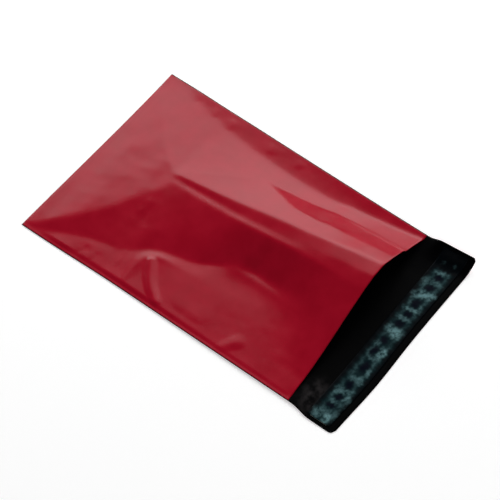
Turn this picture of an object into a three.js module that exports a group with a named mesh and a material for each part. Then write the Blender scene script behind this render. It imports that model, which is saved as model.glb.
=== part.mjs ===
// A self-seal mailing bag of plastic film, lying on its back panel: empty, lightly puffed, its mouth ajar.
// One web of film makes the back panel, the fold at the closed end, the front panel and the lip.
// Millimetres, +Z up. X runs across the bag, Y along it, with the closed end at +Y and the lip at -Y.
// The origin is on the table, under the middle of the bag.

import * as THREE from "three";

// The bag as it is cut and welded.
const bagWidth = 165;
const pocketLength = 230;
const lipDepth = 40;
const filmThickness = 0.06;
const sideWeldWidth = 3;
const lipCornerRadius = 4;

// The seal on the lip: a stripe of hot-melt glue under a wider release liner.
const sealSetback = 14.5;
const glueWidth = 14;
const glueThickness = 0.12;
const linerWidth = 19;
const linerThickness = 0.05;
const layerClearance = 0.02;

// How the front panel stands off the back one: a hipped end, then a crest that climbs to the mouth.
const hipLength = 65;
const hipHeight = 7.7;
const mouthHeight = 22.4;
const mouthBow = 3.2;

// How the edges lie. They come in and lift as the bag puffs, more at the right than at the left. The right
// edge also lifts close to the closed end, and the right corner of the lip curls up.
const leftDrawIn = 0.3;
const rightDrawIn = 2.5;
const leftLift = 0.8;
const rightLift = 1.9;
const rightEndLift = 1.1;
const endLiftRun = 45;
const edgeLiftWidth = 32;
const cornerCurlHeight = 7;
const cornerCurlWidth = 17;
const cornerCurlRun = 18;

// How finely the film is drawn.
const columnsAcross = 24;
const rowsAlong = 30;
const cornerRows = 3;
const lipRowLength = 8;

const halfWidth = bagWidth / 2;
const bagLength = pocketLength + lipDepth;
const closedEndY = bagLength / 2;
const lipEndY = -bagLength / 2;
const mouthY = closedEndY - pocketLength;
const sealY = lipEndY + sealSetback;

// The folds that run along the front panel, from the left weld to the right one. The film is nearly flat
// between two of them. Each station of a fold holds three shares. The first is how far it is from the
// closed end: 1 at the peak of the hip, 2 at the mouth. The second is how far it is from the middle, where
// a weld is 1. The third is its height, where the crest's is 1.
const rim = [[0, -1, 0.29], [0.48, -0.98, 0.29], [1.02, -0.975, 0.185], [1.3, -0.975, 0.14], [2, -0.985, 0.05]];
const shelf = [
  [0, -0.999, 0.085], [0.2, -0.996, 0.085], [0.48, -0.918, 0.13], [1.02, -0.805, 0.12], [1.08, -0.78, 0.12],
  [1.12, -0.654, 0.2], [1.18, -0.591, 0.18], [1.42, -0.566, 0.15], [1.79, -0.654, 0.15], [2, -0.755, 0.135],
];
const trough = [
  [0, -0.998, 0.09], [0.46, -0.893, 0.09], [1.02, -0.73, 0.095], [1.12, -0.572, 0.13], [1.18, -0.516, 0.12],
  [1.42, -0.453, 0.105], [1.67, -0.365, 0.14], [1.79, -0.415, 0.195], [1.91, -0.528, 0.23], [2, -0.642, 0.21],
];
const stepTop = [
  [0, -0.987, 0.945], [0.57, -0.478, 0.945], [0.91, -0.113, 0.955], [1, 0.05, 0.965], [1.18, 0.05, 0.905],
  [1.42, 0.067, 0.91], [2, 0.101, 0.89],
];
const stepFoot = [
  [0, 0.956, 0.94], [0.49, 0.415, 0.94], [0.91, 0.138, 0.955], [1, 0.12, 0.94], [1.18, 0.12, 0.88],
  [1.55, 0.151, 0.91], [2, 0.252, 0.985],
];
const crest = [
  [0, 0.981, 0.945], [0.49, 0.44, 0.945], [0.91, 0.155, 0.963], [1, 0.161, 1], [1.12, 0.196, 1],
  [1.49, 0.277, 1.01], [2, 0.384, 1],
];
const brow = [[0, 0.989, 0.45], [1.3, 0.579, 0.45], [1.41, 0.547, 0.56], [1.52, 0.484, 0.72], [2, 0.566, 0.77]];
const shin = [[0, 0.994, 0.36], [1.3, 0.635, 0.36], [1.42, 0.654, 0.295], [1.64, 0.723, 0.235], [2, 0.723, 0.42]];
const foot = [
  [0, 0.996, 0.03], [0.4, 0.956, 0.03], [0.66, 0.943, 0.03], [1.06, 0.874, 0.03], [1.42, 0.843, 0.03],
  [1.73, 0.893, 0.03], [2, 0.981, 0.03],
];
const foldLines = [rim, shelf, trough, stepTop, stepFoot, crest, brow, shin, foot];

// Eases from 0 to 1 as the share goes from 0 to 1, level at both ends.
function ease(share) {
  return THREE.MathUtils.smootherstep(share, 0, 1);
}

// How far the pocket has opened at y: 0 at the closed end, 1 at the mouth and beyond it.
function opened(y) {
  return ease((closedEndY - y) / pocketLength);
}

// How far down the lip y is: 0 in the pocket and at the mouth, 1 at the lip's edge.
function alongLip(y) {
  return THREE.MathUtils.clamp((mouthY - y) / lipDepth, 0, 1);
}

// The corner curl's share of its full height at y.
function curled(y) {
  return ease((mouthY - y) / cornerCurlRun);
}

// A point of the web that lies flat at x, y: its place across once the bag has puffed.
function drawnInX(x, y) {
  const puffed = (x < 0 ? leftDrawIn : rightDrawIn) * opened(y) * (1 - ease(alongLip(y)));
  const intoCurl = Math.max(0, (x - halfWidth) / cornerCurlWidth + 1);
  const curlDrawIn = (2 / 3) * (cornerCurlHeight ** 2 / cornerCurlWidth) * intoCurl ** 3;
  return x - (puffed * x) / halfWidth - curlDrawIn * curled(y) ** 2;
}

// How high the left or the right edge is lifted at y. Both come down again along the lip.
function edgeLift(y, left) {
  const early = left ? 0 : rightEndLift * ease((closedEndY - y) / endLiftRun);
  return (early + (left ? leftLift : rightLift) * opened(y)) * (1 - ease(alongLip(y)));
}

// The height of the back panel's underside: flat on the table, lifted along the sides and at the curl.
function undersideZ(x, y) {
  const intoEdge = Math.max(0, (Math.abs(x) - halfWidth) / edgeLiftWidth + 1);
  const intoCurl = Math.max(0, (x - halfWidth) / cornerCurlWidth + 1);
  return edgeLift(y, x < 0) * intoEdge ** 2 + cornerCurlHeight * curled(y) * intoCurl ** 2;
}

// Where a fold is at a run along the pocket: its share across and its share of the height.
function foldAt(stations, run) {
  const next = Math.max(1, stations.findIndex((station) => station[0] >= run));
  const [low, high] = [stations[next - 1], stations[next]];
  const share = (run - low[0]) / (high[0] - low[0]);
  return [1, 2].map((part) => THREE.MathUtils.lerp(low[part], high[part], share));
}

// The clear height of the pocket between the two panels.
function pocketGap(x, y) {
  const weldX = halfWidth - sideWeldWidth;
  if (Math.abs(x) >= weldX) return 0;
  const toEnd = THREE.MathUtils.clamp(closedEndY - filmThickness - y, 0, pocketLength);
  const pastHip = Math.max(0, toEnd - hipLength) / (pocketLength - hipLength);
  const run = Math.min(1, toEnd / hipLength) + pastHip;
  const height = run < 1 ? hipHeight * run : THREE.MathUtils.lerp(hipHeight, mouthHeight, pastHip);
  const section = [[-1, 0], ...foldLines.map((stations) => foldAt(stations, run)), [1, 0]];
  const next = section.findIndex(([across]) => across * weldX > x);
  const [low, high] = [section[next - 1], section[next]];
  return height * THREE.MathUtils.mapLinear(x / weldX, low[0], high[0], low[1], high[1]);
}

// Half of the web's width at y, less where the lip's corners are rounded.
function halfWidthAt(y) {
  const intoCorner = Math.max(0, lipEndY + lipCornerRadius - y);
  return halfWidth - lipCornerRadius + Math.sqrt(lipCornerRadius ** 2 - intoCorner ** 2);
}

// The skin of a thin piece: points, and triangles that face out.
class Skin {
  points = [];
  triangles = [];

  // Adds a line of points across the bag, one for each x, each as far forward of the line as bowAt says.
  line(across, y, heightAt, bowAt = () => 0) {
    const scale = halfWidthAt(y) / halfWidth;
    return across.map((x) => {
      this.points.push(drawnInX(x * scale, y), y + bowAt(x), heightAt(x * scale, y));
      return this.points.length / 3 - 1;
    });
  }

  triangle(a, b, c) {
    this.triangles.push(a, b, c);
  }

  // Fills between each line and the next. Lines that run to +X and follow each other to +Y face up, or
  // down when turned. Either way a cell is cut along the same diagonal, so stacked layers nest.
  fill(lines, turned = false) {
    for (let j = 1; j < lines.length; j += 1) {
      for (let i = 1; i < lines[j].length; i += 1) {
        const cell = [lines[j - 1][i - 1], lines[j - 1][i], lines[j][i], lines[j][i - 1]];
        const [a, b, c, d] = turned ? [cell[0], cell[3], cell[2], cell[1]] : cell;
        this.triangle(a, b, c);
        this.triangle(a, c, d);
      }
    }
  }

  geometry() {
    const made = new THREE.BufferGeometry();
    made.setAttribute("position", new THREE.Float32BufferAttribute(this.points, 3));
    made.setIndex(this.triangles);
    made.computeVertexNormals();
    return made;
  }
}

// The columns that run the length of the web: the two edges, and the pocket from weld to weld.
function webColumns() {
  const weldX = halfWidth - sideWeldWidth;
  const inner = Array.from({ length: columnsAcross + 1 }, (_, i) => weldX * ((2 * i) / columnsAcross - 1));
  return [-halfWidth, ...inner, halfWidth];
}

// The rows down the lip, from its edge to the mouth, with one on each edge of the seal's stripes.
function lipRows() {
  const corner = Array.from({ length: cornerRows + 1 }, (_, i) => {
    return lipEndY + lipCornerRadius * (1 - Math.cos((Math.PI / 2) * (i / cornerRows)));
  });
  const stripes = [-linerWidth, -glueWidth, 0, glueWidth, linerWidth].map((across) => sealY + across / 2);
  const spare = mouthY - stripes.at(-1);
  const steps = Math.ceil(spare / lipRowLength);
  const rest = Array.from({ length: steps }, (_, i) => mouthY - (spare * i) / steps);
  const rows = [...corner, ...stripes, ...rest].sort((a, b) => a - b);
  return rows.filter((y, i) => i === 0 || y - rows[i - 1] > filmThickness);
}

// The folded and welded web.
function filmBag() {
  const skin = new Skin();
  const across = webColumns();
  const inside = across.slice(1, -1);
  const bow = (x, y) => mouthBow * (pocketGap(x, y) / mouthHeight) * opened(y);
  const weldTop = (x, y) => undersideZ(x, y) + 2 * filmThickness;
  const backTop = (x, y) => undersideZ(x, y) + filmThickness;

  const lip = lipRows();
  const rows = Array.from({ length: rowsAlong + 1 }, (_, j) => mouthY + (pocketLength * j) / rowsAlong);
  const innerRows = [...rows.slice(0, -1), closedEndY - filmThickness];

  const underLip = lip.slice(0, -1).map((y) => skin.line(across, y, undersideZ));
  const underPocket = rows.map((y) => skin.line(across, y, undersideZ));
  const overLip = lip.map((y) => skin.line(across, y, backTop));
  const frontTop = (x, y) => weldTop(x, y) + pocketGap(x, y);
  const front = rows.map((y) => skin.line(across, y, frontTop, (x) => bow(x, y)));

  // The two inner faces meet at the side welds and at the fold, and open from there.
  const meets = overLip.at(-1).slice(1, -1);
  const backInner = innerRows.map((y, j) => (j === 0 ? meets : skin.line(inside, y, backTop)));
  const frontInner = innerRows.map((y, j) => {
    if (j === rowsAlong) return backInner[j];
    const opening = inside.slice(1, -1);
    const made = skin.line(opening, y, (x) => backTop(x, y) + pocketGap(x, y), (x) => bow(x, y));
    return [backInner[j][0], ...made, backInner[j].at(-1)];
  });

  skin.fill([...underLip, ...underPocket], true);
  skin.fill(overLip);
  skin.fill(backInner);
  skin.fill(frontInner, true);
  skin.fill(front);

  // The cut edge of the lip, the cut edge of the front panel at the mouth, and the fold.
  const overMouth = [overLip.at(-1)[0], ...frontInner[0], overLip.at(-1).at(-1)];
  skin.fill([underLip[0], overLip[0]]);
  skin.fill([overMouth, front[0]]);
  skin.fill([front.at(-1), underPocket.at(-1)]);

  // The cut edges down each side: one film thick along the lip, two along the weld.
  for (const side of [0, -1]) {
    const turned = side === 0;
    const column = (lines) => lines.map((line) => line.at(side));
    const low = column(underPocket);
    const high = column(front);
    const lipTop = overLip.at(-1).at(side);
    skin.fill([[...column(underLip), low[0]], column(overLip)], turned);
    skin.fill([low.slice(1), high.slice(1)], turned);
    skin.fill([[low[0], low[1]], [lipTop, high[1]]], turned);
    if (turned) skin.triangle(lipTop, high[0], high[1]);
    else skin.triangle(lipTop, high[1], high[0]);
  }
  return skin.geometry();
}

// A stripe that lies along the seal and follows the lip's curl.
function stripe(width, thickness, standOff) {
  const skin = new Skin();
  const across = webColumns().slice(1, -1);
  const reach = width / 2 + filmThickness / 2;
  const rows = lipRows().filter((y) => Math.abs(y - sealY) < reach);
  const bottom = rows.map((y) => skin.line(across, y, (x) => undersideZ(x, y) + standOff));
  const top = rows.map((y) => skin.line(across, y, (x) => undersideZ(x, y) + standOff + thickness));
  const column = (lines, side) => lines.map((line) => line.at(side));
  skin.fill(bottom, true);
  skin.fill(top);
  skin.fill([bottom[0], top[0]]);
  skin.fill([top.at(-1), bottom.at(-1)]);
  skin.fill([column(top, 0), column(bottom, 0)]);
  skin.fill([column(bottom, -1), column(top, -1)]);
  return skin.geometry();
}

function named(name, geometry, finish) {
  const mesh = new THREE.Mesh(geometry, new THREE.MeshStandardMaterial(finish));
  mesh.name = name;
  return mesh;
}

const glueStandOff = filmThickness + layerClearance;
const linerStandOff = glueStandOff + glueThickness + layerClearance;

const mailingBag = new THREE.Group();
mailingBag.add(
  named("film_bag", filmBag(), { color: 0x9c1029, roughness: 0.34, metalness: 0 }),
  named("adhesive_strip", stripe(glueWidth, glueThickness, glueStandOff), {
    color: 0xcfc8b4,
    roughness: 0.5,
    metalness: 0,
  }),
  named("release_liner", stripe(linerWidth, linerThickness, linerStandOff), {
    color: 0x3f6a70,
    roughness: 0.25,
    metalness: 0,
  }),
);

export default mailingBag;
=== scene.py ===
"""A self-seal mailing bag of plastic film, lying lightly puffed on a pale table.

The bag is made as the real one is: one flat web is laid out, folded at the closed end, welded
down both sides and left with a lip, and its two layers then stand apart where air has got in.
A stripe of glue and its release liner follow the lip. Shapes are worked out in millimetres and
become metres when they reach a mesh.
"""

from __future__ import annotations

import logging
import math
from dataclasses import dataclass
from enum import Enum

import bmesh
import bpy
import numpy as np
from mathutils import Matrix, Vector

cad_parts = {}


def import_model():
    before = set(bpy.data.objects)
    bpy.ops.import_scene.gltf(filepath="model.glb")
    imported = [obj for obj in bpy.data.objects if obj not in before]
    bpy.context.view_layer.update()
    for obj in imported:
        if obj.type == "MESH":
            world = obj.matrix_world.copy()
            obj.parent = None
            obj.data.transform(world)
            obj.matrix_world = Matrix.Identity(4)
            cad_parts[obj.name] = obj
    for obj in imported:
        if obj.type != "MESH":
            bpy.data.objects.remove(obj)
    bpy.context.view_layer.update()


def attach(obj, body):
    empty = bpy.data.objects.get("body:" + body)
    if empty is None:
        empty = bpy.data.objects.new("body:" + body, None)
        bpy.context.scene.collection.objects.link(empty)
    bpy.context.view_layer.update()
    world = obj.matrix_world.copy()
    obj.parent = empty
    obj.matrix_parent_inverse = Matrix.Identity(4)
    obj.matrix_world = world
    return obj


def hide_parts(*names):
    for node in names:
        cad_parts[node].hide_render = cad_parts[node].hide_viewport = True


log = logging.getLogger("mailing_bag")

MM = 0.001
WEB_MAP = "web"
INK_LAYER = "inks"
# How many points a crease's drawn path has for each point given
PATH_STEPS = 8
# How round a crease's top is, as a share of its reach
CREASE_CROWN = 0.3
# How near a place lies to a line that it counts as on, in millimetres
TOUCH = 0.01
# How near the welded edges of two layers are when they are joined, as a share of the film
WELD_REACH = 0.2

Array = np.ndarray
Colour = tuple[float, float, float, float]


def ease(share: Array | float) -> Array:
    """Goes from 0 to 1 as the share does, level at both ends."""
    held = np.clip(share, 0.0, 1.0)
    return held * held * held * (held * (held * 6.0 - 15.0) + 10.0)


def blend(low: Array | float, high: Array | float, share: Array | float) -> Array:
    """Mixes two values by a share."""
    return low + (high - low) * share


class Fold(Enum):
    """Which way a crease stands."""

    RIDGE = 1.0
    VALLEY = -1.0


@dataclass(frozen=True)
class Crease:
    """A crease pressed into the front panel, in millimetres on the flat web.

    Attributes:
        path: The points that it passes, across and along the bag. It runs through them in a
            smooth bow.
        height: How far it stands out of the film, or into it.
        reach: How far to each side its flanks die away.
        fold: Ridge or valley.
        fade_in: The share of its length over which it grows.
        fade_out: The share of its length over which it dies away.
        flat_flanks: Whether its flanks are flat, as a pleat's are, and end at its reach.
    """

    path: tuple[tuple[float, float], ...]
    height: float
    reach: float
    fold: Fold = Fold.RIDGE
    fade_in: float = 0.25
    fade_out: float = 0.35
    flat_flanks: bool = False

    def drawn(self) -> Array:
        """Draws the path as a fine line: a Catmull-Rom curve through its points.

        Returns:
            The line's points, one to a row.
        """
        points = np.array(self.path)
        before, after = 2.0 * points[0] - points[1], 2.0 * points[-1] - points[-2]
        knots = np.vstack([before, points, after])
        shares = np.linspace(0.0, 1.0, PATH_STEPS + 1)[:-1, None]
        spans = []
        for p0, p1, p2, p3 in zip(knots, knots[1:], knots[2:], knots[3:]):
            cubic = (3.0 * p1 - 3.0 * p2 + p3 - p0) * shares**3
            square = (2.0 * p0 - 5.0 * p1 + 4.0 * p2 - p3) * shares**2
            spans.append(p1 + 0.5 * ((p2 - p0) * shares + square + cubic))
        return np.vstack(spans + [points[-1:]])

    def relief(self, x: Array, y: Array) -> Array:
        """Works out the height that the crease adds.

        Args:
            x: Across the flat web, in millimetres.
            y: Along the bag.

        Returns:
            The height at each place.
        """
        line = self.drawn()
        steps = np.diff(line, axis=0)
        lengths = np.hypot(steps[:, 0], steps[:, 1])
        reached = np.concatenate([[0.0], np.cumsum(lengths)])
        nearest = np.full(x.shape, np.inf)
        share = np.zeros(x.shape)
        for start, step, length, done in zip(line, steps, lengths, reached):
            to_x, to_y = x - start[0], y - start[1]
            held = np.clip((to_x * step[0] + to_y * step[1]) / length**2, 0.0, 1.0)
            away = np.hypot(to_x - held * step[0], to_y - held * step[1])
            closer = away < nearest
            nearest = np.where(closer, away, nearest)
            share = np.where(closer, (done + held * length) / reached[-1], share)
        crown = CREASE_CROWN * self.reach
        away = (np.hypot(nearest, crown) - crown) / self.reach
        flank = np.maximum(0.0, 1.0 - away) if self.flat_flanks else np.exp(-away)
        grown = ease(share / self.fade_in) * ease((1.0 - share) / self.fade_out)
        return self.fold.value * self.height * flank * grown


@dataclass(frozen=True)
class FoldLine:
    """A line that runs along the bag where its front panel bends, in millimetres.

    Attributes:
        stations: Along the bag, across it, and the height, from the mouth to the closed end.
    """

    stations: tuple[tuple[float, float, float], ...]

    def at(self, y: Array) -> tuple[Array, Array]:
        """Where the line is at each place along the bag: across it, and its height."""
        along, across, height = np.array(self.stations).T
        return np.interp(y, along, across), np.interp(y, along, height)


@dataclass(frozen=True)
class Zone:
    """A part of the front panel whose folds are rounder or crisper than usual, in millimetres.

    Each bound is a place and the distance over which the zone grows from there, which is
    negative where it grows towards lower places.

    Attributes:
        softness: How many times as soft as usual its folds are.
        along: Its bound along the bag.
        across: Its bounds across the bag.
        line: The fold line that it keeps to, if any.
        line_offset: How far beside that line its middle runs.
        line_reach: How far to each side of its middle it dies away.
    """

    softness: float
    along: tuple[float, float]
    across: tuple[tuple[float, float], ...] = ()
    line: FoldLine | None = None
    line_offset: float = 0.0
    line_reach: float = 1.0

    def share(self, x: Array, y: Array) -> Array:
        """Works out how much of the zone's softness holds.

        Args:
            x: Across the bag, in millimetres.
            y: Along it.

        Returns:
            The share at each place, from 0 to 1.
        """
        held = np.ones(x.shape)
        if self.line:
            middle = self.line.at(y)[0] + self.line_offset
            held = np.exp(-(((x - middle) / self.line_reach) ** 2))
        for start, run in self.across:
            held = held * ease((x - start) / run)
        start, run = self.along
        return held * ease((y - start) / run)


@dataclass(frozen=True)
class Web:
    """The flat film web, in millimetres, and how finely it is drawn."""

    width: float = 165.0
    pocket: float = 230.0
    lip: float = 40.0
    film: float = 0.06
    weld: float = 3.0
    corner: float = 4.0
    curled_corner: float = 2.0
    columns: int = 150
    front_rows: int = 220
    back_rows: int = 62
    lip_rows: int = 28

    @property
    def half(self) -> float:
        """Half of the width."""
        return self.width / 2.0

    @property
    def weld_line(self) -> float:
        """How far from the middle the side weld's inner line lies."""
        return self.half - self.weld

    @property
    def length(self) -> float:
        """The whole web: front panel, back panel and lip."""
        return 2.0 * self.pocket + self.lip

    @property
    def rows(self) -> int:
        """All rows of the web."""
        return self.front_rows + self.back_rows + self.lip_rows

    def along(self, share: Array) -> Array:
        """How far along the web each row lies, in millimetres, given its share of all rows."""
        ends = np.cumsum([0.0, self.front_rows, self.back_rows, self.lip_rows]) / self.rows
        return np.interp(share, ends, [0.0, self.pocket, 2.0 * self.pocket, self.length])

    @property
    def closed_end(self) -> float:
        """Where the fold at the closed end lies along the bag."""
        return (self.pocket + self.lip) / 2.0

    @property
    def lip_end(self) -> float:
        """Where the lip's outer edge lies along the bag."""
        return -self.closed_end

    @property
    def mouth(self) -> float:
        """Where the front panel stops and the lip begins."""
        return self.closed_end - self.pocket


@dataclass(frozen=True)
class Lay:
    """How the bag's edges come up from the table as it puffs, in millimetres.

    The left side, towards -X, and the right side draw in, lift and spread by amounts of their
    own. The curl's start and growth are shares of its height. The places of the lip's bow and
    of the mouth's skew are shares of half the width. Each run is the distance over which a
    lift, curl, spread or hollow grows, and the haste is how many times sooner than at the
    lip's edge its spread is complete.
    """

    web: Web = Web()
    draw_in: tuple[float, float] = (-0.3, 2.5)
    edge_lift: tuple[float, float] = (0.8, 1.9)
    end_lift: float = 1.1
    end_run: float = 45.0
    edge_reach: float = 32.0
    curl_height: float = 7.0
    curl_width: float = 17.0
    curl_start: float = 0.85
    curl_growth: float = 0.35
    curl_run: float = 18.0
    end_spread: tuple[float, float] = (1.4, 0.9)
    end_spread_runs: tuple[float, float] = (95.0, 60.0)
    end_hollow: float = 1.25
    end_hollow_run: float = 40.0
    lip_spread: float = 2.6
    lip_spread_haste: float = 1.8
    lip_flare: float = 1.7
    lip_bow: float = 1.6
    lip_bow_middle: float = -0.45
    lip_bow_reach: float = 0.4
    mouth_bow: float = 2.9
    mouth_bow_power: float = 0.6
    mouth_skew: float = 1.8
    mouth_skew_from: float = 0.25

    def opened(self, y: Array) -> Array:
        """How far the pocket has opened: 0 at the closed end, 1 at the mouth and past it."""
        return ease((self.web.closed_end - y) / self.web.pocket)

    def down_lip(self, y: Array) -> Array:
        """How far down the lip a place is: 0 at the mouth, 1 at the lip's edge."""
        return np.clip((self.web.mouth - y) / self.web.lip, 0.0, 1.0)

    def toward_end(self, y: Array, run: float) -> Array:
        """How near the closed end a place is: 0 until a run before it, 1 at it."""
        return ease((y - (self.web.closed_end - run)) / run)

    def into_side(self, x: Array, reach: float) -> Array:
        """How far into a strip along the right side a place is: 0 outside it, 1 at the edge."""
        return np.maximum(0.0, (x - self.web.half) / reach + 1.0)

    def curled(self, y: Array) -> Array:
        """The share of its height that the curled side has at y; it is highest at the corner."""
        grown = self.curl_start + self.curl_growth * self.down_lip(y)
        return ease((self.web.mouth - y) / self.curl_run) * grown

    def across(self, x: Array, y: Array) -> Array:
        """Works out where places of the flat web lie across the bag once it has puffed.

        Args:
            x: Across the flat web, in millimetres.
            y: Along the bag.

        Returns:
            The place across the bag.
        """
        half, down = self.web.half, self.down_lip(y)
        drawn = np.where(x < 0.0, *self.draw_in) * self.opened(y) * (1.0 - ease(down)) * x / half
        left, right = (
            size * self.toward_end(y, run) for size, run in zip(self.end_spread, self.end_spread_runs)
        )
        left = self.lip_spread * ease(self.lip_spread_haste * down) + left
        right = self.lip_flare * down**2 + right
        spread = left * (0.5 - 0.5 * x / half) - right * (0.5 + 0.5 * x / half)
        into_curl = self.into_side(x, self.curl_width)
        curl = (2.0 / 3.0) * (self.curl_height**2 / self.curl_width) * into_curl**3
        return x - drawn - spread - curl * self.curled(y) ** 2

    def lengthwise(self, x: Array, y: Array) -> Array:
        """Works out where places lie along the bag: the mouth askew, the lip bowed, the end hollow.

        Args:
            x: Across the flat web, in millimetres.
            y: Along the bag.

        Returns:
            The place along the bag.
        """
        half, on_lip = self.web.half, ease(self.down_lip(y))
        off_bow = (x - self.lip_bow_middle * half) / (self.lip_bow_reach * half)
        bow = self.lip_bow * np.exp(-(off_bow**2)) * on_lip
        begins = self.mouth_skew_from
        leaning = np.clip((begins * half - x) / ((1.0 + begins) * half), 0.0, 1.0)
        skew = self.mouth_skew * leaning * self.opened(y) ** 2 * (1.0 - on_lip)
        hollow = self.end_hollow * (1.0 - (x / half) ** 2) * (0.5 + 0.5 * x / half)
        return y - hollow * self.toward_end(y, self.end_hollow_run) - bow - skew

    def underside(self, x: Array, y: Array) -> Array:
        """Works out the height of the back panel's underside: flat, but for its sides and the curl.

        Args:
            x: Across the flat web, in millimetres.
            y: Along the bag.

        Returns:
            The height above the table.
        """
        early = np.where(x < 0.0, 0.0, self.end_lift) * ease((self.web.closed_end - y) / self.end_run)
        lift = early + np.where(x < 0.0, *self.edge_lift) * self.opened(y)
        lift = lift * (1.0 - ease(self.down_lip(y))) * self.into_side(np.abs(x), self.edge_reach) ** 2
        return lift + self.curl_height * self.curled(y) * self.into_side(x, self.curl_width) ** 2


class FrontPanel:
    """The height of the puffed front panel, worked out once on a fine grid of the flat web.

    The panel is made of nearly flat facets between fold lines, as film lies: an end facet, a
    long left slope with a shelf at its foot, a small step below the crest, and a right slope
    that is full at first, steep in its middle and ends where the two panels touch. Creases and
    the film's slight unevenness are added to the facets. Lengths are in millimetres.

    Attributes:
        STEP: The grid's step.
        MARGIN: How far the grid passes the web's sides and closed end.
        MOUTH_MARGIN: How far it passes the mouth.
        SOFT_ACROSS: How far the folds are rounded across the bag.
        SOFT_ALONG: How far they are rounded along it.
        WELD_RISE: Over how far the panel comes up beside the welds.
        END_RISE: Over how far it comes up beside the closed end.
        RIDGE_HOLD: Two heights that set how much of a ridge is left where the panels lie close.
        VALLEY_HOLD: The same two for a valley.
        UNEVEN: How high each wave of the unevenness stands at most.
        WAVES: How many waves it has.
        WAVE_LENGTHS: How short and how long they are.
        WAVE_SHIFT: How far they are shifted at most, in radians.
    """

    STEP = 0.5
    MARGIN = 4.0
    MOUTH_MARGIN = 6.0
    SOFT_ACROSS = 1.3
    SOFT_ALONG = 1.7
    WELD_RISE = 1.8
    END_RISE = 2.5
    RIDGE_HOLD = (0.5, 0.9)
    VALLEY_HOLD = (0.1, 0.8)
    UNEVEN = 0.014
    WAVES = 36
    WAVE_LENGTHS = (8.0, 32.0)
    WAVE_SHIFT = 6.3

    RIM = FoldLine((
        (-95, -79.6, 0.6), (-60, -79.5, 0.7), (-20, -79.3, 0.7), (20, -79.3, 0.75), (48, -79.3, 0.8),
        (66, -79.2, 0.8), (90, -79.4, 0.75), (104, -79.6, 0.6), (122, -80.0, 0.25), (135, -79.47, 0.1),
    ))
    SHELF = FoldLine((
        (-95, -60, 1.9), (-80, -56, 1.9), (-60, -51, 1.8), (-40, -46, 1.75), (-20, -43, 1.75),
        (0, -43, 1.65), (20, -45, 1.5), (40, -47, 1.4), (50.5, -52, 1.4), (57, -62, 1.0),
        (66, -64, 0.95), (78, -65, 0.85), (90, -67, 0.75), (104, -71, 0.55), (120, -79.0, 0.25),
        (135, -79.45, 0.1),
    ))
    TROUGH = FoldLine((
        (-95, -49, 4.1), (-80, -39, 4.4), (-60, -27, 3.3), (-40, -21, 1.9), (-20, -19, 1.05),
        (0, -24.5, 0.9), (20, -35.5, 0.95), (40, -41, 0.95), (50, -45.5, 1.0), (58, -52, 0.95),
        (66, -58, 0.85), (78, -60.5, 0.7), (90, -63.5, 0.6), (105, -69.5, 0.45), (121, -77.5, 0.2),
        (135, -79.4, 0.1),
    ))
    STEP_TOP = FoldLine((
        (-95, 8, 20.0), (-50, 8, 16.7), (-20, 6.5, 14.4), (0, 5.3, 12.8), (20, 4.2, 11.1),
        (40, 4, 9.5), (60, 4.5, 8.1), (70, 4, 7.55), (72, -1, 7.25), (76, -7, 6.8),
        (81, -14, 6.2), (90, -30.5, 5.1), (97, -41, 4.3), (111, -57.5, 2.9), (119, -67, 1.95),
        (127, -76, 0.9), (135, -79.2, 0.1),
    ))
    STEP_FOOT = FoldLine((
        (-95, 20, 22.2), (-70, 18, 19.9), (-50, 15.5, 17.6), (-20, 12, 14.4), (0, 10.5, 12.6),
        (20, 9.6, 10.9), (40, 9.3, 9.25), (60, 9.3, 7.8), (72, 9.5, 7.3), (76, 11, 6.95),
        (87, 18, 5.9), (103, 33, 4.15), (118, 48, 2.4), (128, 60, 1.1), (135, 76, 0.1),
    ))
    CREST = FoldLine((
        (-95, 32.3, 22.4), (-70, 29.4, 20.4), (-50, 26.6, 18.65), (-30, 24, 16.9), (-10, 22, 15.1),
        (10, 18.9, 13.3), (30, 16.1, 11.5), (50, 13.6, 9.8), (60, 12.7, 8.9), (70, 12.0, 7.9),
        (76, 12.3, 7.0), (87, 20, 5.95), (103, 35, 4.2), (118, 50, 2.45), (128, 62, 1.12),
        (135, 78, 0.1),
    ))
    BROW = FoldLine((
        (-95, 44.5, 0.9), (-80, 44, 0.9), (-65, 43, 0.85), (-35, 40.5, 0.95), (-15, 38.5, 1.0),
        (-5, 41, 0.85), (3, 43.5, 0.6), (12, 45.5, 0.3), (20, 46, 0.1), (30, 46, 0), (135, 78.6, 0),
    ))
    LEDGE = FoldLine((
        (-95, 56.0, 0.65), (-80, 56.4, 0.4), (-65, 56.5, -0.1), (-50, 56.1, -0.5), (-35, 55.5, -0.8),
        (-15, 52.0, -0.98), (0, 50.2, -0.68), (12, 49.2, -0.34), (20, 49.5, -0.12), (30, 49.5, 0),
        (135, 78.8, 0),
    ))
    SHIN = FoldLine((
        (-95, 57.4, -1.3), (-80, 57.7, -1.2), (-65, 57.6, -0.95), (-35, 56.5, -0.87), (-15, 53, -1.05),
        (0, 51, -0.75), (12, 50, -0.4), (20, 50.5, -0.14), (30, 50.5, 0), (135, 79, 0),
    ))
    FOOT = FoldLine((
        (-95, 78, 0), (-80, 75.5, 0), (-70, 74, 0), (-60, 72.5, 0), (-50, 71, 0), (-40, 70, 0),
        (-30, 67.2, 0), (-20, 66, 0), (0, 65.0, 0), (20, 65.0, 0), (40, 66, 0), (50, 66.5, 0),
        (60, 67.8, 0), (70, 69.2, 0), (80, 71.5, 0), (92, 73.5, 0), (106, 75.5, 0), (118, 79, 0),
        (135, 79.2, 0),
    ))
    SHELF_END = Zone(6.5, along=(14.0, -26.0), across=((-12.0, -14.0), (-68.0, 10.0)))
    STEP_SIDE = Zone(0.35, along=(-25.0, -25.0), line=SHIN, line_offset=-0.5, line_reach=3.0)
    RIGHT_FOOT = Zone(1.95, along=(-50.0, 40.0), across=((52.0, 12.0),))

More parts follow.
